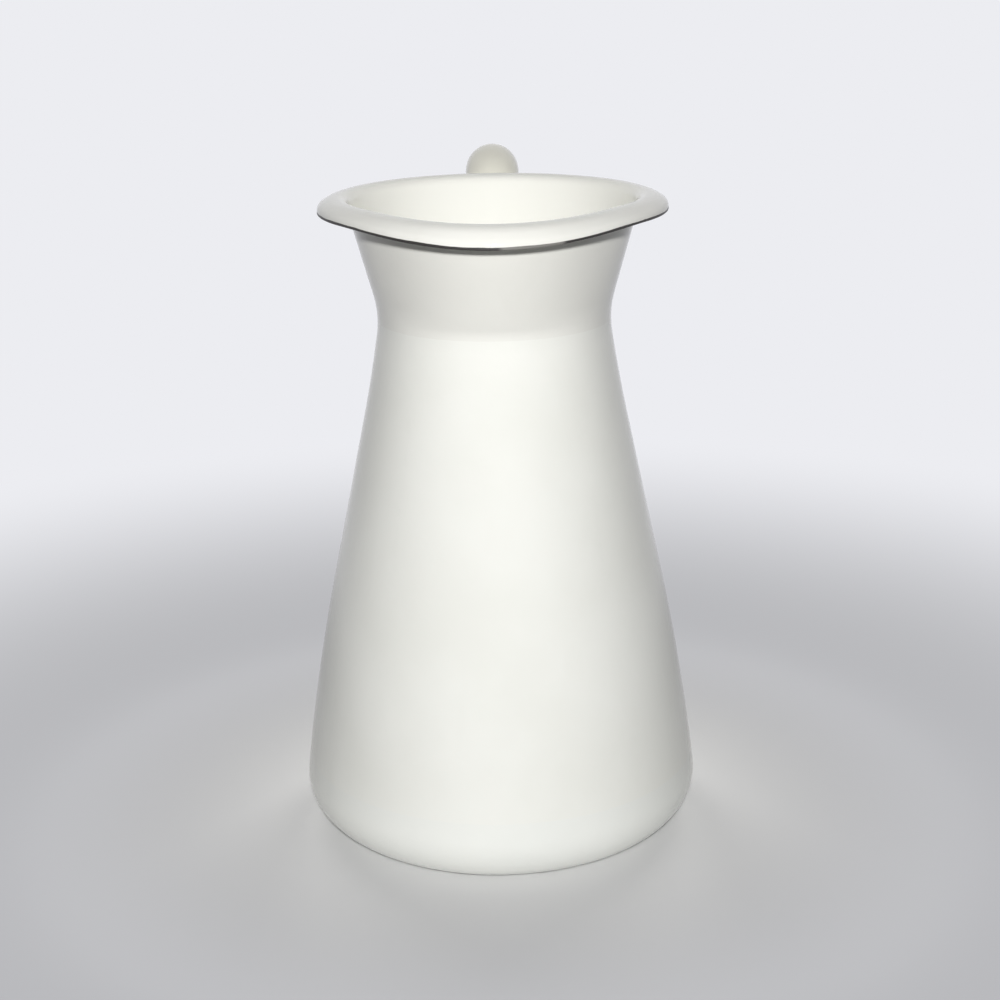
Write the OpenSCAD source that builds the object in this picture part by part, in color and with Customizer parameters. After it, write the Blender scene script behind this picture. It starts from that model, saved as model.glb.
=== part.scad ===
// Enamelled steel pitcher: a conical body on a rounded foot, a narrow waist, a flared neck
// with a turned lip that is drawn out into a wide pouring lip, and a hollow round handle.
// Z is up and the base stands on Z = 0, centred on the Z axis.
// The pouring lip points along -Y and the handle stands behind, along +Y.

/* [Sheet] */
// Thickness of the enamelled sheet of the body
wall = 1.2; // [0.8:0.1:1.8]
// Thickness of the enamelled sheet of the handle
handle_wall = 1.2; // [0.8:0.1:2.4]

/* [Body] */
// Outer radius at the waist, the narrowest place
waist_r = 39.3; // [34:0.1:46]
// Height of the waist
waist_z = 178.6; // [150:0.1:210]
// Radius of the hollow curve at the waist
waist_curve_r = 33.5; // [24:0.5:45]
// Slope of the wall just below the waist curve, from upright
shoulder_slope = 8.75; // [7:0.05:11]
// Radius of the long hollow curve below the waist
shoulder_curve_r = 490; // [200:10:700]
// Slope of the straight cone, from upright
cone_slope = 12.1; // [11.5:0.05:15]
// Height at which the cone starts to round into the belly
belly_z = 89.5; // [50:0.5:100]
// Radius of the belly's long curve
belly_curve_r = 853; // [500:1:1500]
// Radius of the rounded foot corner
foot_corner_r = 15.6; // [8:0.1:20]
// Height of the weld between the base pan and the wall
base_seam_z = 24; // [22:0.5:40]

/* [Neck and lip] */
// Height of the lip's crest above the waist
neck_h = 41.2; // [34:0.1:52]
// Slope of the flared neck, from upright
neck_slope = 15.15; // [12:0.05:20]
// Radius of the crest's bend, on its upper side
crest_curve_r = 4; // [3:0.1:6]
// How far the lip's outer bend sinks below the crest
lip_drop = 4; // [3.4:0.1:6]
// Radius of the lip's outer bend, on its upper side
lip_edge_r = 2.6; // [2.2:0.1:3.2]
// Turn of the lip's flat upper curve before the outer bend
lip_top_turn = 36; // [28:1:44]
// Length of the lip's straight end below the outer bend
lip_end = 1; // [0.4:0.1:2]

/* [Pouring lip] */
// How far the pouring lip is drawn forward
spout_reach = 5; // [1:0.1:9]
// Radius of the waist's hollow curve at the middle of the pouring lip
spout_bend_r = 10; // [6:0.5:20]
// How far the crest sinks at the middle of the pouring lip
crest_droop = 1.2; // [0:0.1:3]
// How far the lip's edge sinks at the middle of the pouring lip
edge_droop = 3.2; // [0:0.1:5]
// Half of the angle over which the neck and the lip are drawn out
spout_half_angle = 57.5; // [30:0.5:85]

/* [Handle] */
// Diameter of the handle from the neck to its highest point
handle_top_d = 19.6; // [14:0.1:22]
// Diameter of the handle at its lower end
handle_low_d = 16; // [12:0.1:20]
// Widening of the handle's ends where they are welded on, on the radius
joint_flare = 1.4; // [0:0.1:3]
// Length over which a widened end narrows to the plain tube
flare_len = 2.5; // [1:0.1:4]
// Height of the upper joint above the waist
upper_joint_rise = 17.4; // [14:0.1:19]
// Distance of the handle's highest point behind the lip's edge
handle_reach = 25.6; // [22:0.1:36]
// Rise of the handle's axis from the upper joint to its highest point
handle_rise = 20.5; // [10:0.5:28]
// Distance of the grip's rearmost point behind the handle's highest point
grip_reach = 22.4; // [18:0.1:40]
// Drop of the grip's rearmost point below the handle's highest point
grip_drop = 30.5; // [24:0.5:50]
// Height of the lower joint on the body
lower_joint_z = 92; // [70:0.5:110]
// Gap left for the weld between the handle and the body
weld_gap = 0.05; // [0.05:0.01:0.3]

/* [Hidden] */
$fn = 96;

ENAMEL = [0.96, 0.96, 0.93];
BASE_ENAMEL = [0.92, 0.92, 0.89];
HANDLE_ENAMEL = [0.90, 0.89, 0.84];

// Steps of the curves: arcs of the outline, turns round the neck, stations along the handle
arc_steps = 8;
lip_steps = 4;
neck_steps = 7;
neck_turns = 72;
path_steps = 10;
tube_steps = 12;
// Share of a quarter turn's box that a Bezier arm takes to draw a round quarter
ROUND_ARM = 0.55;

// The outline is a chain of arcs that share their tangents. An arc is [centre, bend], where
// the bend is the outer face's radius, negative where the outline is hollow. A point lies
// where the outward normal rises by `rise`, and `depth` below the outer face.
function facing(rise) = [cos(rise), sin(rise)];
function arc_point(arc, rise, depth) = arc[0] + (arc[1] - depth) * facing(rise);
function next_arc(arc, rise, bend) = [arc[0] + (arc[1] - bend) * facing(rise), bend];
function arc_points(arc, from, to, depth, steps) =
    [for (i = [0 : steps]) arc_point(arc, from + (to - from) * i / steps, depth)];
function reversed(list) = [for (i = [len(list) - 1 : -1 : 0]) list[i]];

// Arcs below the waist
waist_arc = [[waist_r + waist_curve_r, waist_z], -waist_curve_r];
shoulder_arc = next_arc(waist_arc, shoulder_slope, -shoulder_curve_r);
cone_top = arc_point(shoulder_arc, cone_slope, 0);
belly_top = [cone_top[0] + (cone_top[1] - belly_z) * tan(cone_slope), belly_z];
belly_arc = [belly_top - belly_curve_r * facing(cone_slope), belly_curve_r];
foot_rise = asin((foot_corner_r - belly_arc[0][1]) / (belly_curve_r - foot_corner_r));
foot_arc = next_arc(belly_arc, foot_rise, foot_corner_r);

// Arcs above the waist: the neck is straight up to the crest, and the lip turns out and down
crest_h = waist_z + neck_h;
neck_foot = arc_point(waist_arc, -neck_slope, 0);
crest_centre_z = crest_h - crest_curve_r;
crest_run = crest_curve_r - wall + (crest_centre_z - neck_foot[1]) * sin(neck_slope);
crest_r = neck_foot[0] + crest_run / cos(neck_slope);
crest_arc = [[crest_r, crest_centre_z], wall - crest_curve_r];
flare_top_z = arc_point(crest_arc, -neck_slope, 0)[1];
lip_top_r = (lip_drop - lip_edge_r * cos(lip_top_turn)) / (1 - cos(lip_top_turn));
lip_top_arc = next_arc(crest_arc, -90, wall - lip_top_r);
lip_edge_rise = -90 - lip_top_turn;
lip_edge_arc = next_arc(lip_top_arc, lip_edge_rise, wall - lip_edge_r);
lip_r = lip_edge_arc[0][0] + lip_edge_r;

// Outer radius of the body at a height between the foot and the crest
function body_r(z) =
    z > neck_foot[1] ? neck_foot[0] + (z - neck_foot[1]) * tan(neck_slope) :
    z > arc_point(waist_arc, shoulder_slope, 0)[1] ? arc_r(waist_arc, z) :
    z > cone_top[1] ? arc_r(shoulder_arc, z) :
    z > belly_z ? belly_top[0] - (z - belly_z) * tan(cone_slope) :
    arc_r(belly_arc, z);
function arc_r(arc, z) =
    arc[0][0] + sign(arc[1]) * sqrt(pow(arc[1], 2) - pow(z - arc[0][1], 2));

// Rise of the belly's normal at the base weld, at a depth below the outer face
function seam_rise(depth) = asin((base_seam_z - belly_arc[0][1]) / (belly_curve_r - depth));

// Drawn bottom of the pitcher: a flat floor, the rounded foot corner and the start of the belly
function base_face(depth) = concat(
    [[0, depth]],
    arc_points(foot_arc, -90, foot_rise, depth, 2 * arc_steps),
    arc_points(belly_arc, foot_rise, seam_rise(depth), depth, 2));

module base_pan() {
    color(BASE_ENAMEL)
        rotate_extrude()
            polygon(concat(base_face(0), reversed(base_face(wall))));
}

// Conical wall from the base weld up to the waist
function wall_face(depth) = concat(
    arc_points(belly_arc, seam_rise(depth), cone_slope, depth, arc_steps),
    arc_points(shoulder_arc, cone_slope, shoulder_slope, depth, arc_steps),
    arc_points(waist_arc, shoulder_slope, 0, depth, arc_steps));

module body_wall() {
    color(ENAMEL)
        rotate_extrude()
            polygon(concat(wall_face(0), reversed(wall_face(wall))));
}

// Face of the neck's sheet at a depth, from the waist weld over the crest to the lip's cut edge.
// The straight flare has points of its own, because the pouring lip bends it.
function neck_face(depth) =
    let (low = arc_point(waist_arc, -neck_slope, depth))
    let (high = arc_point(crest_arc, -neck_slope, depth))
    concat(
        arc_points(waist_arc, 0, -neck_slope, depth, arc_steps),
        [for (i = [1 : neck_steps - 1]) low + (high - low) * i / neck_steps],
        arc_points(crest_arc, -neck_slope, -90, depth, arc_steps),
        after_first(arc_points(lip_top_arc, -90, lip_edge_rise, depth, lip_steps)),
        after_first(arc_points(lip_edge_arc, lip_edge_rise, -180, depth, lip_steps)),
        [arc_point(lip_edge_arc, -180, depth) - [0, lip_end]]);
function after_first(list) = [for (i = [1 : len(list) - 1]) list[i]];
neck_outer = neck_face(0);
neck_inner = neck_face(wall);
neck_middle = neck_face(wall / 2);

// Outline of the neck's front, which is drawn forward from the waist up: a tight bend that turns
// into a straight flare
spout_arc = [[waist_r + spout_bend_r, waist_z], -spout_bend_r];
spout_top = [body_r(flare_top_z) + spout_reach, flare_top_z];
spout_way = spout_top - spout_arc[0];
spout_slope = atan2(spout_way[0], spout_way[1]) + asin(spout_bend_r / norm(spout_way));
function spout_r(z) =
    z > arc_point(spout_arc, -spout_slope, 0)[1] ? spout_top[0] - (flare_top_z - z) * tan(spout_slope) :
    arc_r(spout_arc, z);

// Strength of the pouring lip round the neck: 1 at the front, 0 outside its half angle
function spout_share(turn) =
    abs(turn) < spout_half_angle ? (1 + cos(180 * turn / spout_half_angle)) / 2 : 0;
// How much of the pull reaches a point of the sheet's middle, and how far out along the lip it is
function pull(p) =
    let (z = p[0] > crest_r ? flare_top_z : min(p[1], flare_top_z))
    (spout_r(z) - body_r(z)) / spout_reach;
function out_along_lip(p) = max(0, (p[0] - crest_r) / (lip_r - wall / 2 - crest_r));
function spout_shift(p) =
    [spout_reach * pull(p), -crest_droop * pull(p) - (edge_droop - crest_droop) * out_along_lip(p)];
spout_shifts = [for (p = neck_middle) spout_shift(p)];

// One turn of the section, at an angle from the front
function neck_section(turn) =
    let (shifts = spout_share(turn) * spout_shifts)
    let (ring = concat(neck_outer + shifts, reversed(neck_inner + shifts)))
    [for (p = ring) [p[0] * sin(turn), -p[0] * cos(turn), p[1]]];

// Faces of a skin over rings of `n` points, each ring closed on itself
function skin_faces(rings, n, closed) =
    [for (i = [0 : rings - (closed ? 1 : 2)], j = [0 : n - 1], half = [0, 1])
        let (a = i * n + j)
        let (b = i * n + (j + 1) % n)
        let (c = ((i + 1) % rings) * n + j)
        let (d = ((i + 1) % rings) * n + (j + 1) % n)
        half == 0 ? [a, b, d] : [a, d, c]];

// Flared neck with the turned lip and the pouring lip, one pressing
module neck_and_lip() {
    rings = [for (i = [0 : neck_turns - 1]) neck_section(360 * i / neck_turns - 180)];
    color(ENAMEL)
        polyhedron([for (ring = rings) each ring],
            skin_faces(neck_turns, 2 * len(neck_middle), true), convexity = 8);
}

// Handle axis in the YZ plane: out of the neck, up to its highest point, round to the grip
// and back to the body
handle_top_r = handle_top_d / 2;
handle_low_r = handle_low_d / 2;
upper_joint_z = waist_z + upper_joint_rise;
handle_top = [lip_r + handle_reach, upper_joint_z + handle_rise];
grip_back = handle_top + [grip_reach, -grip_drop];
upper_root = [body_r(upper_joint_z + handle_top_r + joint_flare) + flare_len, upper_joint_z];
lower_root = [body_r(lower_joint_z - handle_low_r - joint_flare) + flare_len, lower_joint_z];

function bezier(p, t) =
    pow(1 - t, 3) * p[0] + 3 * t * pow(1 - t, 2) * p[1] + 3 * t * t * (1 - t) * p[2] + pow(t, 3) * p[3];
function bezier_way(p, t) =
    pow(1 - t, 2) * (p[1] - p[0]) + 2 * t * (1 - t) * (p[2] - p[1]) + t * t * (p[3] - p[2]);
rise_arm = [(handle_top[0] - upper_root[0]) / 2, 0];
over_arm = ROUND_ARM * (grip_back - handle_top);
back_arm = ROUND_ARM * (lower_root - grip_back);
handle_curves = [
    [upper_root, upper_root + rise_arm, handle_top - rise_arm, handle_top],
    [handle_top, handle_top + [over_arm[0], 0], grip_back - [0, over_arm[1]], grip_back],
    [grip_back, grip_back + [0, back_arm[1]], lower_root - [back_arm[0], 0], lower_root]];

// A station of the handle: its place, its direction and its radius
function handle_r(curve, t) =
    curve == 0 ? handle_top_r : handle_top_r + (handle_low_r - handle_top_r) * (curve - 1 + t) / 2;
handle_stations =
    [for (c = [0 : 2], i = [c == 0 ? 0 : 1 : path_steps])
        let (t = i / path_steps)
        let (way = bezier_way(handle_curves[c], t))
        [bezier(handle_curves[c], t), way / norm(way), handle_r(c, t)]];

// Half ring of the tube on one side of the seam plane X = 0: the outer face from the top seam
// to the bottom seam, then the inner face back
function half_ring(r) = concat(
    [for (i = [0 : tube_steps]) r * facing(90 - 180 * i / tube_steps)],
    [for (i = [tube_steps : -1 : 0]) (r - handle_wall) * facing(90 - 180 * i / tube_steps)]);
function tube_ring(station) =
    [for (p = half_ring(station[2]))
        [p[0], station[0][0] - p[1] * station[1][1], station[0][1] + p[1] * station[1][0]]];
// End ring that follows the body's round face at a joint; `up` is -1 where the tube runs inwards
function joint_ring(z, r, up) =
    [for (p = half_ring(r + joint_flare))
        let (height = z + up * p[1])
        [p[0], sqrt(pow(body_r(height), 2) - pow(p[0], 2)) + weld_gap, height]];

handle_rings = concat(
    [joint_ring(upper_joint_z, handle_top_r, 1)],
    [for (s = handle_stations) tube_ring(s)],
    [joint_ring(lower_joint_z, handle_low_r, -1)]);

// One pressed half of the hollow handle, right of the seam plane
module handle_half() {
    n = len(handle_rings[0]);
    last = n * (len(handle_rings) - 1);
    ends = [for (i = [0 : tube_steps - 1], half = [0, 1])
        half == 0 ? [i, n - 2 - i, i + 1] : [i, n - 1 - i, n - 2 - i]];
    color(HANDLE_ENAMEL)
        polyhedron([for (ring = handle_rings) each ring],
            concat(skin_faces(len(handle_rings), n, false), ends,
                [for (f = ends) [for (v = reversed(f)) last + v]]), convexity = 8);
}

module handle_right_half() {
    handle_half();
}

module handle_left_half() {
    mirror([1, 0, 0])
        handle_half();
}

base_pan();
body_wall();
neck_and_lip();
handle_left_half();
handle_right_half();
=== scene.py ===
from math import asin, atan2, cos, pi, radians, sin, sqrt, tan

import bmesh
import bpy
from mathutils import Euler, Matrix, Vector, noise
from mathutils.bvhtree import BVHTree
from mathutils.geometry import interpolate_bezier


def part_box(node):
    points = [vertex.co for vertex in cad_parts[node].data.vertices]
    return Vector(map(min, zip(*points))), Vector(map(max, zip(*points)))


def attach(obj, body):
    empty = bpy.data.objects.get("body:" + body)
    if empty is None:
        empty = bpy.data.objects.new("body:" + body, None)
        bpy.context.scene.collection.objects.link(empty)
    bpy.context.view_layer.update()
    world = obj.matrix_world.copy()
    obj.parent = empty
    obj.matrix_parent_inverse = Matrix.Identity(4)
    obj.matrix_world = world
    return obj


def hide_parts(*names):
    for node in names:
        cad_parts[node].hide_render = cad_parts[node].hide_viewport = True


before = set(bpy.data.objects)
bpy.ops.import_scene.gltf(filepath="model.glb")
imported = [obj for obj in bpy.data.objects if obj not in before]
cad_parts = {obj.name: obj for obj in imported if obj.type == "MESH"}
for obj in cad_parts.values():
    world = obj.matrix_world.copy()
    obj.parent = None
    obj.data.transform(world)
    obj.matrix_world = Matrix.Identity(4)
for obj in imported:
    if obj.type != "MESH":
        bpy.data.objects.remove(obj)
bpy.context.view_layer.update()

# Body wall
# The conical wall of the pitcher, rolled from sheet steel, welded along its length and drawn in
# to the waist. The weld is ground flush and the whole is dipped in white enamel and fired.
SHEET = 0.0012
WAIST_R = 0.0393
WAIST_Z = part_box("body_wall")[1].z
WAIST_CURVE_R = 0.0335
SHOULDER_SLOPE = radians(8.75)
SHOULDER_CURVE_R = 0.490
CONE_SLOPE = radians(12.1)
BELLY_Z = 0.0895
BELLY_CURVE_R = 0.853
BASE_SEAM_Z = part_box("body_wall")[0].z
BELLY_STEPS = 24
CONE_STEPS = 20
SHOULDER_STEPS = 12
WAIST_STEPS = 6
SPIN_STEPS = 192
SAME_PLACE = 1e-6
RIPPLE_DEPTH = 0.00012
RIPPLE_SIZE = Vector((0.028, 0.028, 0.090))
SHARP_ANGLE = radians(40)
BODY_WHITE = (0.848, 0.850, 0.802, 1)
BODY_CLOUD = (0.812, 0.814, 0.762, 1)
CLOUD_SCALE = 22.0
CLOUD_SPAN = (0.35, 0.75)
DRIP_SCALE = 70.0
DRIP_SQUEEZE = (1, 1, 0.2)
DRIP_SPAN = (0.45, 0.80)
DRIP_SHARE = 0.6
# The inward faces are painted whiter than the outside: painted light, for the light that gathers inside
# the pitcher.
INSIDE_PAINTED_LIGHT_WHITE = (0.890, 0.887, 0.830, 1)
INSIDE_PAINTED_LIGHT_SHARE = 0.8
INSIDE_SPAN = (-0.3, 0.1)
ENAMEL_SPECULAR = 0.4
GLOSS_SCALE = 45.0
GLOSS_SPAN = (0.3, 0.8)
SMOOTHEST = 0.05
ROUGHEST = 0.09
PINHOLE_SCALE = 80.0
PINHOLE_CHOICE_SPAN = (0.960, 0.965)
PINHOLE_SIZE_SPAN = (0.020, 0.035)
SPECK_COLOUR = (0.100, 0.085, 0.070, 1)
SPECK_ROUGHNESS = 0.6
PEEL_SCALE = 420.0
PEEL_STRENGTH = 0.12
PEEL_DEPTH = 0.0003


def facing(rise):
    """Direction, across and up, of an outline's outward normal that rises by an angle."""
    return Vector((cos(rise), sin(rise)))


def arc_point(arc, rise):
    """Point of an arc, which is a centre and a bend: its radius, or minus that where it is hollow."""
    centre, bend = arc
    return centre + bend * facing(rise)


def next_arc(arc, rise, bend):
    """Arc of another bend that goes on from a point of an arc, along the same tangent."""
    return arc_point(arc, rise) - bend * facing(rise), bend


def arc_points(arc, start, stop, steps):
    """Points of an arc from one rise to another, with both ends."""
    return [arc_point(arc, start + (stop - start) * i / steps) for i in range(steps + 1)]


def line_points(start, stop, steps):
    """Points of a straight line between two ends, without the ends."""
    return [start.lerp(stop, i / steps) for i in range(1, steps)]


def spun_sheet(outline):
    """Spins an outline of the sheet's outer face, which lies to its right, about the pitcher's axis."""
    bm = bmesh.new()
    row = [bm.verts.new((0, r, z)) for r, z in outline]
    edges = [bm.edges.new(pair) for pair in zip(row, row[1:])]
    bmesh.ops.spin(
        bm, geom=row + edges, axis=(0, 0, 1), angle=2 * pi, steps=SPIN_STEPS, use_merge=True
    )
    bmesh.ops.remove_doubles(bm, verts=bm.verts, dist=SAME_PLACE)
    bmesh.ops.recalc_face_normals(bm, faces=bm.faces)
    start, along = outline[0], outline[1] - outline[0]
    beginning = Vector((0, start.x + along.x / 2, start.y + along.y / 2))
    first = min(bm.faces, key=lambda face: (face.calc_center_median() - beginning).length)
    if first.normal.dot(Vector((0, along.y, -along.x))) < 0:
        bmesh.ops.reverse_faces(bm, faces=bm.faces)
    return bm


def ripple(bm):
    """Moves the sheet in and out a little, because rolled and fired sheet is never quite true."""
    for vert in bm.verts:
        place = Vector(c / size for c, size in zip(vert.co, RIPPLE_SIZE))
        outward = Vector((vert.co.x, vert.co.y, 0)).normalized()
        vert.co += outward * RIPPLE_DEPTH * noise.noise(place)


def finished_piece(name, bm, material):
    """Turns a bmesh into an object with smooth faces and crisp edges."""
    mesh = bpy.data.meshes.new(name)
    bm.to_mesh(mesh)
    bm.free()
    mesh.shade_smooth()
    mesh.set_sharp_from_angle(angle=SHARP_ANGLE)
    mesh.materials.append(material)
    made = bpy.data.objects.new(name, mesh)
    bpy.context.collection.objects.link(made)
    return made


def shader_node(tree, kind, inputs, **settings):
    """Adds a shader node and sets its options and inputs; an input is a value or a socket."""
    made = tree.nodes.new("ShaderNode" + kind)
    for option, value in settings.items():
        setattr(made, option, value)
    for socket, value in inputs.items():
        if isinstance(value, bpy.types.NodeSocket):
            tree.links.new(value, made.inputs[socket])
        else:
            made.inputs[socket].default_value = value
    return made


def ramp(tree, value, start, stop, low=0.0, high=1.0):
    """Soft step of a value from low, at start, to high, at stop; a span holds such a start and stop."""
    limits = {"Value": value, "From Min": start, "From Max": stop, "To Min": low, "To Max": high}
    return shader_node(tree, "MapRange", limits, interpolation_type="SMOOTHSTEP").outputs["Result"]


def product(tree, first, second):
    return shader_node(tree, "Math", {0: first, 1: second}, operation="MULTIPLY").outputs[0]


def noise_value(tree, place, scale, detail=2.0):
    inputs = {"Vector": place, "Scale": scale, "Detail": detail}
    return shader_node(tree, "TexNoise", inputs).outputs["Fac"]


def object_place(tree, squeeze=(1, 1, 1)):
    """Object coordinates, each times its part of squeeze."""
    place = shader_node(tree, "TexCoord", {}).outputs["Object"]
    return shader_node(tree, "Mapping", {"Vector": place, "Scale": squeeze}).outputs["Vector"]


def mixed(tree, kind, share, first, second):
    """Mix of two colours, kind RGBA, or of two numbers, kind FLOAT, by the second one's share."""
    # The Mix node has a pair of inputs and an output for each kind, which only their numbers tell apart.
    below, above, result = (6, 7, 2) if kind == "RGBA" else (2, 3, 0)
    inputs = {0: share, below: first, above: second}
    return shader_node(tree, "Mix", inputs, data_type=kind).outputs[result]


def cover(tree, mask, colour, roughness):
    """Lays another finish over the shader where a mask is 1."""
    shader = tree.nodes["Principled BSDF"]
    for name, kind, value in (("Base Color", "RGBA", colour), ("Roughness", "FLOAT", roughness)):
        socket = shader.inputs[name]
        covered = socket.links[0].from_socket
        tree.links.new(mixed(tree, kind, mask, covered, value), socket)


def paint_inside_light(tree, tint):
    """Paints the faces that face the axis whiter over a tint: painted light, standing in for the light
    that gathers inside the pitcher.
    """
    place = object_place(tree, squeeze=(1, 1, 0))
    outward = shader_node(tree, "VectorMath", {0: place}, operation="NORMALIZE").outputs[0]
    normal = shader_node(tree, "NewGeometry", {}).outputs["Normal"]
    turned = shader_node(tree, "VectorMath", {0: normal, 1: outward}, operation="DOT_PRODUCT")
    inside = ramp(tree, turned.outputs["Value"], *INSIDE_SPAN, low=INSIDE_PAINTED_LIGHT_SHARE, high=0.0)
    return mixed(tree, "RGBA", inside, tint, INSIDE_PAINTED_LIGHT_WHITE)


def enamel(name, white, cloud, has_inside=True):
    """White glass coat on steel: glossy, faintly clouded, with an orange peel and a few pinholes.

    A piece that has an inside gets that painted light on its inward faces.
    """
    material = bpy.data.materials.new(name)
    material.use_nodes = True
    tree = material.node_tree
    shader = tree.nodes["Principled BSDF"]
    shader.inputs["Specular IOR Level"].default_value = ENAMEL_SPECULAR
    place = object_place(tree)
    clouds = ramp(tree, noise_value(tree, place, CLOUD_SCALE, detail=4.0), *CLOUD_SPAN)
    runs = object_place(tree, squeeze=DRIP_SQUEEZE)
    drips = ramp(tree, noise_value(tree, runs, DRIP_SCALE), *DRIP_SPAN, high=DRIP_SHARE)
    patchy = shader_node(tree, "Math", {0: clouds, 1: drips}, operation="MAXIMUM").outputs[0]
    tint = mixed(tree, "RGBA", patchy, white, cloud)
    # Painted light: the inward faces are painted whiter.
    if has_inside:
        tint = paint_inside_light(tree, tint)
    tree.links.new(tint, shader.inputs["Base Color"])
    waves = noise_value(tree, place, GLOSS_SCALE, detail=3.0)
    gloss = ramp(tree, waves, *GLOSS_SPAN, low=SMOOTHEST, high=ROUGHEST)
    tree.links.new(gloss, shader.inputs["Roughness"])
    pinholes = shader_node(tree, "TexVoronoi", {"Vector": place, "Scale": PINHOLE_SCALE})
    chosen = shader_node(tree, "SeparateColor", {"Color": pinholes.outputs["Color"]}).outputs[0]
    few = ramp(tree, chosen, *PINHOLE_CHOICE_SPAN)
    small = ramp(tree, pinholes.outputs["Distance"], *PINHOLE_SIZE_SPAN, low=1.0, high=0.0)
    cover(tree, product(tree, few, small), SPECK_COLOUR, SPECK_ROUGHNESS)
    peel = noise_value(tree, place, PEEL_SCALE)
    relief = {"Height": peel, "Strength": PEEL_STRENGTH, "Distance": PEEL_DEPTH}
    bump = shader_node(tree, "Bump", relief)
    tree.links.new(bump.outputs["Normal"], shader.inputs["Normal"])
    return material


waist_arc = Vector((WAIST_R + WAIST_CURVE_R, WAIST_Z)), -WAIST_CURVE_R
shoulder_arc = next_arc(waist_arc, SHOULDER_SLOPE, -SHOULDER_CURVE_R)
cone_top = arc_point(shoulder_arc, CONE_SLOPE)
belly_top = Vector((cone_top.x + (cone_top.y - BELLY_Z) * tan(CONE_SLOPE), BELLY_Z))
belly_arc = belly_top - BELLY_CURVE_R * facing(CONE_SLOPE), BELLY_CURVE_R
seam_rise = asin((BASE_SEAM_Z - belly_arc[0].y) / BELLY_CURVE_R)
wall_outline = (
    arc_points(belly_arc, seam_rise, CONE_SLOPE, BELLY_STEPS)
    + line_points(belly_top, cone_top, CONE_STEPS)
    + arc_points(shoulder_arc, CONE_SLOPE, SHOULDER_SLOPE, SHOULDER_STEPS)
    + arc_points(waist_arc, SHOULDER_SLOPE, 0, WAIST_STEPS)[1:]
)
wall_mesh = spun_sheet(wall_outline)
ripple(wall_mesh)
bmesh.ops.solidify(wall_mesh, geom=wall_mesh.faces, thickness=SHEET)
body_wall = finished_piece("wall_shell", wall_mesh, enamel("wall_enamel", BODY_WHITE, BODY_CLOUD))
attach(body_wall, "root")
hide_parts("body_wall")

# Base pan
# The drawn bottom of the pitcher: a flat floor that turns up in a rounded foot corner and is welded to
# the wall. Where the pitcher stands, the enamel is painted dark in patches: painted shade, for the
# contact shadow under the foot.
FOOT_CORNER_R = 0.0156
FLOOR_STEPS = 16
CORNER_STEPS = 28
SEAM_STEPS = 4
BASE_WHITE = (0.838, 0.845, 0.802, 1)
BASE_CLOUD = (0.808, 0.818, 0.778, 1)
# Painted shade: the band the foot stands on is painted dark in patches, for the contact shadow there.
CONTACT_SHADE_COLOUR = (0.120, 0.110, 0.095, 1)
CONTACT_SHADE_ROUGHNESS = 0.45
CONTACT_SHADE_SCALE = 90.0
CONTACT_SHADE_SPAN = (0.40, 0.62)
CONTACT_SHADE_LOW_Z = 0.0002
CONTACT_SHADE_TOP_Z = 0.0010
CONTACT_SHADE_SHARE = 0.85
CHIP_PLACE = (-0.0100, -0.0572, 0.0021)
CHIP_R = 0.0007
CHIP_CORE = 0.6
CHIP_COLOUR = (0.160, 0.165, 0.190, 1)
CHIP_ROUGHNESS = 0.5


def base_enamel():
    """Body enamel, painted dark in patches underneath as painted contact shade, with one small chip low
    on the foot's front.
    """
    material = enamel("base_enamel", BASE_WHITE, BASE_CLOUD)
    tree = material.node_tree
    place = object_place(tree)
    height = shader_node(tree, "SeparateXYZ", {"Vector": place}).outputs["Z"]
    # Painted contact shade on the standing band.
    patches = ramp(tree, noise_value(tree, place, CONTACT_SHADE_SCALE, detail=3.0), *CONTACT_SHADE_SPAN)
    low = ramp(tree, height, CONTACT_SHADE_LOW_Z, CONTACT_SHADE_TOP_Z, low=CONTACT_SHADE_SHARE, high=0.0)
    cover(tree, product(tree, low, patches), CONTACT_SHADE_COLOUR, CONTACT_SHADE_ROUGHNESS)
    away = shader_node(tree, "VectorMath", {0: place, 1: CHIP_PLACE}, operation="DISTANCE")
    chip = ramp(tree, away.outputs["Value"], CHIP_CORE * CHIP_R, CHIP_R, low=1.0, high=0.0)
    cover(tree, chip, CHIP_COLOUR, CHIP_ROUGHNESS)
    return material


foot_rise = asin((FOOT_CORNER_R - belly_arc[0].y) / (BELLY_CURVE_R - FOOT_CORNER_R))
foot_arc = next_arc(belly_arc, foot_rise, FOOT_CORNER_R)
floor_edge = arc_point(foot_arc, -pi / 2)
base_outline = (
    [Vector((0, 0))]
    + line_points(Vector((0, 0)), floor_edge, FLOOR_STEPS)
    + arc_points(foot_arc, -pi / 2, foot_rise, CORNER_STEPS)
    + arc_points(belly_arc, foot_rise, seam_rise, SEAM_STEPS)[1:]
)
base_mesh = spun_sheet(base_outline)
ripple(base_mesh)
bmesh.ops.solidify(base_mesh, geom=base_mesh.faces, thickness=SHEET)
base_pan = finished_piece("base_shell", base_mesh, base_enamel())
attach(base_pan, "root")
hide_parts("base_pan")

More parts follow.
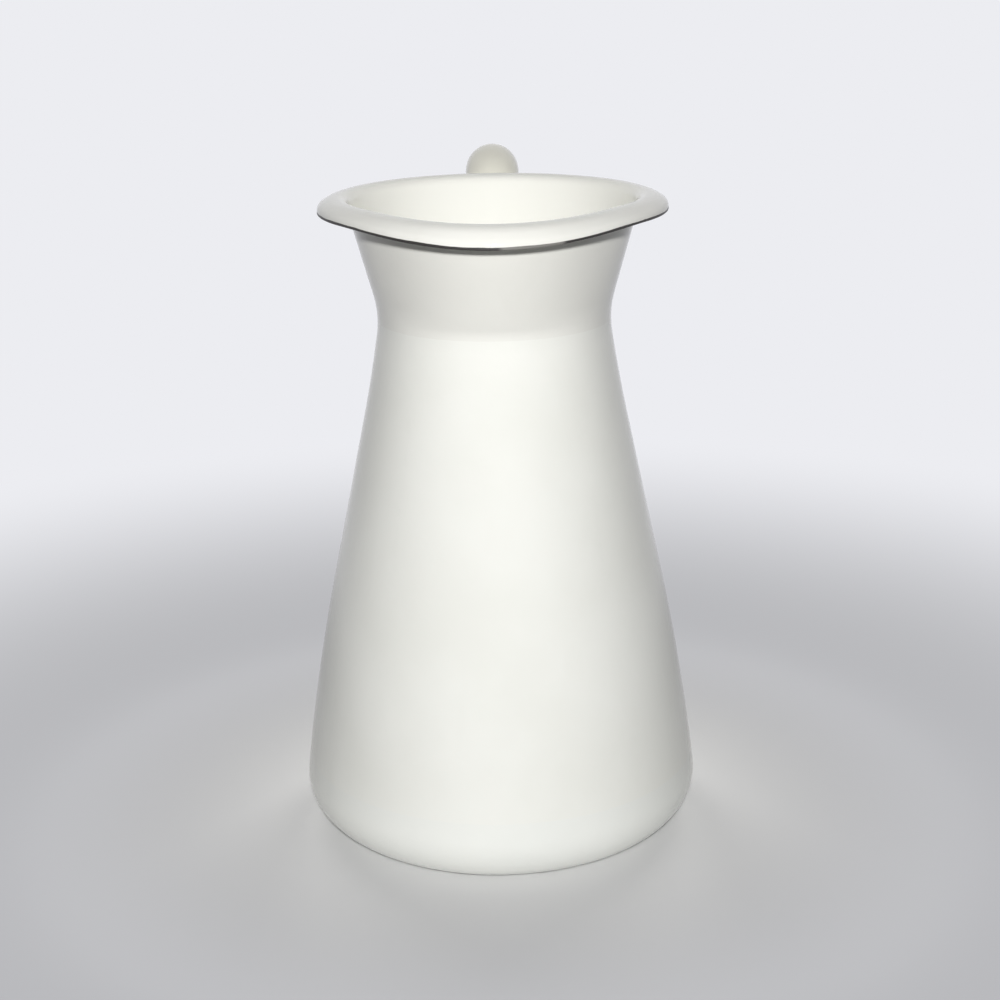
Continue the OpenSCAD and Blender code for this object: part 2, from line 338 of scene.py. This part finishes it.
# Neck and lip
# The flared neck, one pressing welded on at the waist: its edge is turned out and down into a lip,
# and its front is drawn forward into a wide pouring lip. The cut edge is mostly bare and shows dark.
CREST_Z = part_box("neck_and_lip")[1].z
NECK_SLOPE = radians(15.15)
CREST_CURVE_R = 0.004
LIP_DROP = 0.004
LIP_EDGE_R = 0.0026
LIP_TOP_TURN = radians(36)
LIP_END = 0.001
SPOUT_REACH = 0.005
SPOUT_BEND_R = 0.010
CREST_DROOP = 0.0012
EDGE_DROOP = 0.0032
DROOP_POWER = 4
SPOUT_HALF_ANGLE = radians(57.5)
NECK_FOOT_STEPS = 24
FLARE_STEPS = 16
CREST_STEPS = 14
LIP_STEPS = 10
LIP_END_STEPS = 3
CUT_EDGE_ROUND = 0.0003
CUT_EDGE_STEPS = 3
# The neck's whites are painted darker than the body's: painted shade, for the neck that faces down, away
# from the light.
NECK_SHADED_WHITE = (0.820, 0.815, 0.766, 1)
NECK_SHADED_CLOUD = (0.788, 0.782, 0.730, 1)
CUT_EDGE_COLOUR = (0.022, 0.019, 0.018, 1)
CUT_EDGE_ROUGHNESS = 0.5
LINE_SCALE = 80.0
LINE_SPAN = (0.25, 0.75)
LINE_THIN = 0.00082
LINE_WIDE = 0.00105
LINE_BLUR = 0.00005
WORN_EDGE_COLOUR = (0.190, 0.185, 0.172, 1)
WORN_EDGE_ROUGHNESS = 0.4
WORN_PLACE = (0.0130, -0.0640, 0.2120)
WORN_R = 0.0120
WORN_CORE = 0.8
COVERED_X = -0.0660
BARE_X = -0.0570


def neck_enamel():
    """Body enamel, painted darker as painted shade on the down-facing neck, that ends in a thin dark
    line along the lip's cut edge, worn grey at one place.

    The enamel covers the cut edge at the lip's left end, where the line runs out.
    """
    material = enamel("neck_enamel", NECK_SHADED_WHITE, NECK_SHADED_CLOUD)
    tree = material.node_tree
    place = object_place(tree)
    edge = shader_node(tree, "Attribute", {}, attribute_name="edge_distance").outputs["Fac"]
    waves = noise_value(tree, place, LINE_SCALE)
    uneven = ramp(tree, waves, *LINE_SPAN, low=LINE_THIN, high=LINE_WIDE)
    across = shader_node(tree, "SeparateXYZ", {"Vector": place}).outputs["X"]
    width = product(tree, uneven, ramp(tree, across, COVERED_X, BARE_X))
    beyond = shader_node(tree, "Math", {0: edge, 1: width}, operation="SUBTRACT").outputs[0]
    dark = ramp(tree, beyond, -LINE_BLUR, LINE_BLUR, low=1.0, high=0.0)
    cover(tree, dark, CUT_EDGE_COLOUR, CUT_EDGE_ROUGHNESS)
    away = shader_node(tree, "VectorMath", {0: place, 1: WORN_PLACE}, operation="DISTANCE")
    worn = ramp(tree, away.outputs["Value"], WORN_CORE * WORN_R, WORN_R, low=1.0, high=0.0)
    cover(tree, product(tree, dark, worn), WORN_EDGE_COLOUR, WORN_EDGE_ROUGHNESS)
    return material


neck_foot = arc_point(waist_arc, -NECK_SLOPE)
crest_centre_z = CREST_Z - CREST_CURVE_R
crest_run = CREST_CURVE_R - SHEET + (crest_centre_z - neck_foot.y) * sin(NECK_SLOPE)
crest_arc = Vector((neck_foot.x + crest_run / cos(NECK_SLOPE), crest_centre_z)), SHEET - CREST_CURVE_R
crest_r = crest_arc[0].x
lip_top_r = (LIP_DROP - LIP_EDGE_R * cos(LIP_TOP_TURN)) / (1 - cos(LIP_TOP_TURN))
lip_top_arc = next_arc(crest_arc, -pi / 2, SHEET - lip_top_r)
lip_edge_rise = -pi / 2 - LIP_TOP_TURN
lip_edge_arc = next_arc(lip_top_arc, lip_edge_rise, SHEET - LIP_EDGE_R)
lip_r = lip_edge_arc[0].x + LIP_EDGE_R
lip_bend_end = arc_point(lip_edge_arc, -pi)
lip_cut = lip_bend_end - Vector((0, LIP_END))
flare_top = arc_point(crest_arc, -NECK_SLOPE)
neck_outline = (
    arc_points(waist_arc, 0, -NECK_SLOPE, NECK_FOOT_STEPS)
    + line_points(neck_foot, flare_top, FLARE_STEPS)
    + arc_points(crest_arc, -NECK_SLOPE, -pi / 2, CREST_STEPS)
    + arc_points(lip_top_arc, -pi / 2, lip_edge_rise, LIP_STEPS)[1:]
    + arc_points(lip_edge_arc, lip_edge_rise, -pi, LIP_STEPS)[1:]
    + line_points(lip_bend_end, lip_cut, LIP_END_STEPS)
    + [lip_cut]
)
spout_arc = Vector((WAIST_R + SPOUT_BEND_R, WAIST_Z)), -SPOUT_BEND_R
spout_way = flare_top + Vector((SPOUT_REACH, 0)) - spout_arc[0]
spout_slope = atan2(spout_way.x, spout_way.y) + asin(SPOUT_BEND_R / spout_way.length)


def flare_r(arc, slope, z):
    """Outer radius, at a height, of a straight flare that starts in a hollow arc at the waist."""
    foot = arc_point(arc, -slope)
    if z > foot.y:
        return foot.x + (z - foot.y) * tan(slope)
    centre, bend = arc
    return centre.x - sqrt(bend ** 2 - (z - centre.y) ** 2)


def spout_pull(vert):
    """Shift of a point of the neck towards the front and down, where the pouring lip is drawn."""
    outward = Vector((vert.co.x, vert.co.y, 0))
    r = outward.length
    turn = outward.angle(Vector((0, -1, 0)))
    if turn > SPOUT_HALF_ANGLE:
        return Vector()
    share = (1 + cos(pi * turn / SPOUT_HALF_ANGLE)) / 2
    z = flare_top.y if r > crest_r else min(vert.co.z, flare_top.y)
    forward = flare_r(spout_arc, spout_slope, z) - flare_r(waist_arc, NECK_SLOPE, z)
    out_along_lip = max(0.0, (r - crest_r) / (lip_r - SHEET - crest_r))
    at_edge = (EDGE_DROOP - CREST_DROOP) * out_along_lip ** DROOP_POWER
    droop = CREST_DROOP * forward / SPOUT_REACH + at_edge
    return share * (forward * outward.normalized() - Vector((0, 0, droop)))


neck_mesh = spun_sheet(neck_outline)
edge_layer = neck_mesh.verts.layers.float.new("edge_distance")
for vert in neck_mesh.verts:
    on_lip = Vector((vert.co.x, vert.co.y, 0)).length > crest_r
    vert[edge_layer] = vert.co.z - lip_cut.y if on_lip else CREST_Z - WAIST_Z
for vert, shift in [(vert, spout_pull(vert)) for vert in neck_mesh.verts]:
    vert.co += shift
ripple(neck_mesh)
bmesh.ops.solidify(neck_mesh, geom=neck_mesh.faces, thickness=SHEET)
cut_edges = [
    edge for edge in neck_mesh.edges
    if edge.calc_face_angle(0) > SHARP_ANGLE and edge.verts[0].co.z > neck_foot.y
]
bmesh.ops.bevel(
    neck_mesh, geom=cut_edges, offset=CUT_EDGE_ROUND, offset_type="OFFSET", affect="EDGES",
    segments=CUT_EDGE_STEPS, profile=0.5, material=-1
)
neck = finished_piece("neck_shell", neck_mesh, neck_enamel())
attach(neck, "root")
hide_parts("neck_and_lip")

# Handle halves
# The hollow round handle, pressed as a left and a right half of sheet steel, welded along the
# middle and ground flush. Its flared ends are welded to the neck and to the wall, then enamelled.
HANDLE_SHEET = 0.0012
HANDLE_TOP_R = 0.0098
HANDLE_LOW_R = 0.0080
JOINT_FLARE = 0.0014
FLARE_LEN = 0.0025
UPPER_JOINT_RISE = 0.0174
UPPER_JOINT_Z = WAIST_Z + UPPER_JOINT_RISE
LOWER_JOINT_Z = 0.092
HANDLE_REACH = 0.0256
HANDLE_RISE = 0.0205
GRIP_REACH = 0.0224
GRIP_DROP = 0.0305
ROUND_ARM = 0.55
PATH_STEPS = 40
TUBE_SIDES = 96
FILLET_STEPS = 4
WELD_SINK = 0.0004
# The handle's enamel is creamier than the body's, and also painted lighter: painted light on the
# handle's top.
HANDLE_CREAM_LIT_WHITE = (0.880, 0.866, 0.768, 1)
HANDLE_CREAM_LIT_CLOUD = (0.842, 0.824, 0.718, 1)


def wall_r(z):
    """Outer radius of the neck or of the straight cone at a height."""
    if z > WAIST_Z:
        return flare_r(waist_arc, NECK_SLOPE, z)
    return belly_top.x + (BELLY_Z - z) * tan(CONE_SLOPE)


upper_root = Vector((0, wall_r(UPPER_JOINT_Z + HANDLE_TOP_R + JOINT_FLARE) + FLARE_LEN, UPPER_JOINT_Z))
lower_root = Vector((0, wall_r(LOWER_JOINT_Z - HANDLE_LOW_R - JOINT_FLARE) + FLARE_LEN, LOWER_JOINT_Z))
handle_top = Vector((0, lip_r + HANDLE_REACH, UPPER_JOINT_Z + HANDLE_RISE))
grip_back = handle_top + Vector((0, GRIP_REACH, -GRIP_DROP))
rise_arm = Vector((0, (handle_top.y - upper_root.y) / 2, 0))
over_arm = ROUND_ARM * (grip_back - handle_top)
back_arm = ROUND_ARM * (lower_root - grip_back)
level = Vector((0, 1, 0))
upright = Vector((0, 0, 1))
handle_curves = (
    (upper_root, upper_root + rise_arm, handle_top - rise_arm, handle_top),
    (handle_top, handle_top + over_arm * level, grip_back - over_arm * upright, grip_back),
    (grip_back, grip_back + back_arm * upright, lower_root - back_arm * level, lower_root),
)


def tube_frames():
    """Place, direction and radius of the tube's rings as matrices, from the neck round to the wall."""
    axis = [handle_curves[0][0]]
    radii = [HANDLE_TOP_R]
    for number, curve in enumerate(handle_curves):
        axis += interpolate_bezier(*curve, PATH_STEPS + 1)[1:]
        for i in range(1, PATH_STEPS + 1):
            slimmed = max(0.0, number - 1 + i / PATH_STEPS) / 2
            radii.append(HANDLE_TOP_R + (HANDLE_LOW_R - HANDLE_TOP_R) * slimmed)
    frames = []
    for i, (place, r) in enumerate(zip(axis, radii)):
        ahead = (axis[min(i + 1, len(axis) - 1)] - axis[max(i - 1, 0)]).normalized()
        if i in (0, len(axis) - 1):
            ahead = Vector((0, 1 if i == 0 else -1, 0))
        across = Vector((1, 0, 0))
        turn = Matrix((across, ahead.cross(across), ahead)).transposed()
        frames.append(Matrix.LocRotScale(place, turn, Vector((r, r, r))))
    return frames


def next_ring(bm, edges):
    """Extrudes a ring of edges and returns the new ring's corners and edges."""
    made = bmesh.ops.extrude_edge_only(bm, edges=edges)["geom"]
    corners = [part for part in made if isinstance(part, bmesh.types.BMVert)]
    ring = [part for part in made if isinstance(part, bmesh.types.BMEdge) and part.is_boundary]
    return corners, ring


def weld_on(bm, edges, joint_z, r, carrier):
    """Flares an end of the tube in a hollow curve down to the face of the piece that carries it."""
    face = BVHTree.FromObject(carrier, bpy.context.evaluated_depsgraph_get())
    root_y = edges[0].verts[0].co.y
    for step in range(1, FILLET_STEPS + 1):
        along = step / FILLET_STEPS
        corners, edges = next_ring(bm, edges)
        for corner in corners:
            outward = Vector((corner.co.x, 0, corner.co.z - joint_z)).normalized()
            place = Vector((0, root_y, joint_z)) + outward * (r + JOINT_FLARE * along ** 2)
            seat = face.ray_cast(place, Vector((0, -1, 0)))[0].y - WELD_SINK
            corner.co = Vector((place.x, root_y + (seat - root_y) * along, place.z))


def handle_half(side):
    """One pressed half of the handle: the whole tube, cut along the middle and given its thickness."""
    frames = tube_frames()
    bm = bmesh.new()
    half_side = Matrix.Rotation(pi / TUBE_SIDES, 4, "Z")
    bmesh.ops.create_circle(bm, segments=TUBE_SIDES, radius=1.0, matrix=frames[0] @ half_side)
    upper_ring = bm.edges[:]
    ring = upper_ring
    for here, there in zip(frames, frames[1:]):
        corners, ring = next_ring(bm, ring)
        bmesh.ops.transform(bm, matrix=there @ here.inverted(), verts=corners)
    weld_on(bm, upper_ring, UPPER_JOINT_Z, HANDLE_TOP_R, neck)
    weld_on(bm, ring, LOWER_JOINT_Z, HANDLE_LOW_R, body_wall)
    bmesh.ops.recalc_face_normals(bm, faces=bm.faces)
    everything = bm.verts[:] + bm.edges[:] + bm.faces[:]
    bmesh.ops.bisect_plane(
        bm, geom=everything, plane_co=(0, 0, 0), plane_no=(side, 0, 0), clear_inner=True
    )
    bmesh.ops.solidify(bm, geom=bm.faces, thickness=HANDLE_SHEET)
    for vert in bm.verts:
        vert.co.x = side * max(0.0, side * vert.co.x)
    return bm


handle_enamel = enamel("handle_enamel", HANDLE_CREAM_LIT_WHITE, HANDLE_CREAM_LIT_CLOUD, has_inside=False)
for word, side in (("left", -1), ("right", 1)):
    half = finished_piece(f"handle_{word}_shell", handle_half(side), handle_enamel)
    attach(half, "root")
    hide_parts(f"handle_{word}_half")

# Floor
# A plain matt floor, grey, with a pool of light painted round the pitcher's foot that also throws light
# up onto it, and pale further off, where it serves as background.
FLOOR_HALF = 12.0
FLOOR_ROUGHNESS = 0.7
FOOT_PAINTED_LIGHT = (0.760, 0.760, 0.760, 1)
PAINTED_LIGHT_WITHIN = 0.040
FLOOR_GREY = (0.075, 0.075, 0.076, 1)
GREY_BEYOND = 0.200
GRAIN_SCALE = 160.0
GRAIN_SPAN = (0.2, 0.8)
GRAIN_SHADE = 0.95
FLOOR_PALE = (0.840, 0.845, 0.880, 1)
NEAR_SHARE = 0.52
FOOT_WITHIN = 0.062
FOOT_BEYOND = 0.170
GREY_WITHIN = 0.20
PALE_BEYOND = 0.50


def seen_rays(tree):
    """1 for the rays by which the eye sees a thing, straight or in mirrors and glass, 0 for others."""
    rays = shader_node(tree, "LightPath", {}).outputs
    seen = rays["Is Camera Ray"]
    for ray in ("Is Glossy Ray", "Is Transmission Ray"):
        seen = shader_node(tree, "Math", {0: seen, 1: rays[ray]}, operation="MAXIMUM").outputs[0]
    return seen


def floor_finish():
    """Matt grey paint, painted lighter round the foot as a painted pool of light, that fades, for what
    the eye and mirrors see, into an even pale background.
    """
    material = bpy.data.materials.new("floor_finish")
    material.use_nodes = True
    tree = material.node_tree
    shader = tree.nodes["Principled BSDF"]
    shader.inputs["Roughness"].default_value = FLOOR_ROUGHNESS
    place = object_place(tree)
    grain = ramp(tree, noise_value(tree, place, GRAIN_SCALE, detail=4.0), *GRAIN_SPAN)
    darker = tuple(GRAIN_SHADE * part for part in FLOOR_GREY[:3]) + (1,)
    paint = mixed(tree, "RGBA", grain, darker, FLOOR_GREY)
    away = shader_node(tree, "VectorMath", {0: place}, operation="LENGTH").outputs["Value"]
    # Painted pool of light: the paint is lighter round the pitcher's foot.
    near = ramp(tree, away, PAINTED_LIGHT_WITHIN, GREY_BEYOND, low=1.0, high=0.0)
    tree.links.new(mixed(tree, "RGBA", near, paint, FOOT_PAINTED_LIGHT), shader.inputs["Base Color"])
    far = ramp(tree, away, GREY_WITHIN, PALE_BEYOND, low=NEAR_SHARE)
    past_foot = ramp(tree, away, FOOT_WITHIN, FOOT_BEYOND)
    share = product(tree, product(tree, far, past_foot), seen_rays(tree))
    pale = shader_node(tree, "Emission", {"Color": FLOOR_PALE}).outputs[0]
    mix = shader_node(tree, "MixShader", {0: share, 1: shader.outputs[0], 2: pale})
    tree.links.new(mix.outputs[0], tree.nodes["Material Output"].inputs["Surface"])
    return material


floor_mesh = bmesh.new()
bmesh.ops.create_grid(floor_mesh, x_segments=2, y_segments=2, size=FLOOR_HALF)
floor = finished_piece("floor", floor_mesh, floor_finish())

# Light
# A soft lamp in front of the pitcher, two wider ones behind it, a weak one above, a narrow beam down
# into the mouth, and a faint light all round.
LAMP_AIM = Vector((0, 0, 0.20))
AMBIENT = 0.035
WARM = (1, 0.988, 0.962)
BEAM_PLACE = (0, 0, 1.20)
BEAM_WATTS = 30
BEAM_ANGLE = radians(3.4)
BEAM_EDGE = 0.6
BEAM_SOURCE_R = 0.01


def hang_lamp(light, place, mirrored):
    """Hangs a lamp at a place and aims it at the pitcher's neck; mirrored shows it in reflections."""
    lamp = bpy.data.objects.new(light.name, light)
    lamp.location = place
    lamp.rotation_euler = (LAMP_AIM - lamp.location).to_track_quat("-Z", "Y").to_euler()
    lamp.visible_camera = False
    lamp.visible_glossy = mirrored
    bpy.context.collection.objects.link(lamp)


def soft_lamp(name, place, size, watts, spread, mirrored, tint=(1, 1, 1)):
    """Round lamp of a size across, in metres, that shines over a spread in degrees."""
    light = bpy.data.lights.new(name, "AREA")
    light.color = tint
    light.shape = "DISK"
    light.size = size
    light.energy = watts
    light.spread = radians(spread)
    hang_lamp(light, place, mirrored)


soft_lamp("front_lamp", place=(0, -0.755, 0.417), size=0.048, watts=5.06, spread=165, mirrored=True)
for word, side in (("left", -1), ("right", 1)):
    soft_lamp(
        f"{word}_back_lamp", place=(0.53 * side, 1.30, 0.75), size=0.80, watts=11.0, spread=180,
        mirrored=False, tint=WARM
    )
soft_lamp("top_lamp", place=(0, 0, 1.60), size=0.60, watts=0.6, spread=180, mirrored=False)
beam = bpy.data.lights.new("mouth_beam", "SPOT")
beam.energy = BEAM_WATTS
beam.spot_size = BEAM_ANGLE
beam.spot_blend = BEAM_EDGE
beam.shadow_soft_size = BEAM_SOURCE_R
hang_lamp(beam, BEAM_PLACE, mirrored=False)

world = bpy.data.worlds.new("room")
world.use_nodes = True
room = world.node_tree
limits = {"Value": seen_rays(room), "To Min": AMBIENT, "To Max": 1.0}
strength = shader_node(room, "MapRange", limits).outputs["Result"]
sky = room.nodes["Background"]
sky.inputs["Color"].default_value = FLOOR_PALE
room.links.new(strength, sky.inputs["Strength"])
bpy.context.scene.world = world
bpy.context.scene.view_settings.view_transform = "Standard"

# Camera
# It stands in front of the pouring lip, a little above the rim, and looks down.
EYE = Vector((0, -0.6301, 0.3095))
PITCH = 0.3011
YAW = 0.0016
ROLL = 0.0144
LENS_MM = 68.5
SENSOR_MM = 36.0

camera_data = bpy.data.cameras.new("camera")
camera_data.lens = LENS_MM
camera_data.sensor_fit = "HORIZONTAL"
camera_data.sensor_width = SENSOR_MM
camera = bpy.data.objects.new("camera", camera_data)
turn = Euler((pi / 2 - PITCH, 0, -YAW)).to_matrix() @ Matrix.Rotation(-ROLL, 3, "Z")
camera.matrix_world = Matrix.LocRotScale(EYE, turn, None)
bpy.context.collection.objects.link(camera)
bpy.context.scene.camera = camera
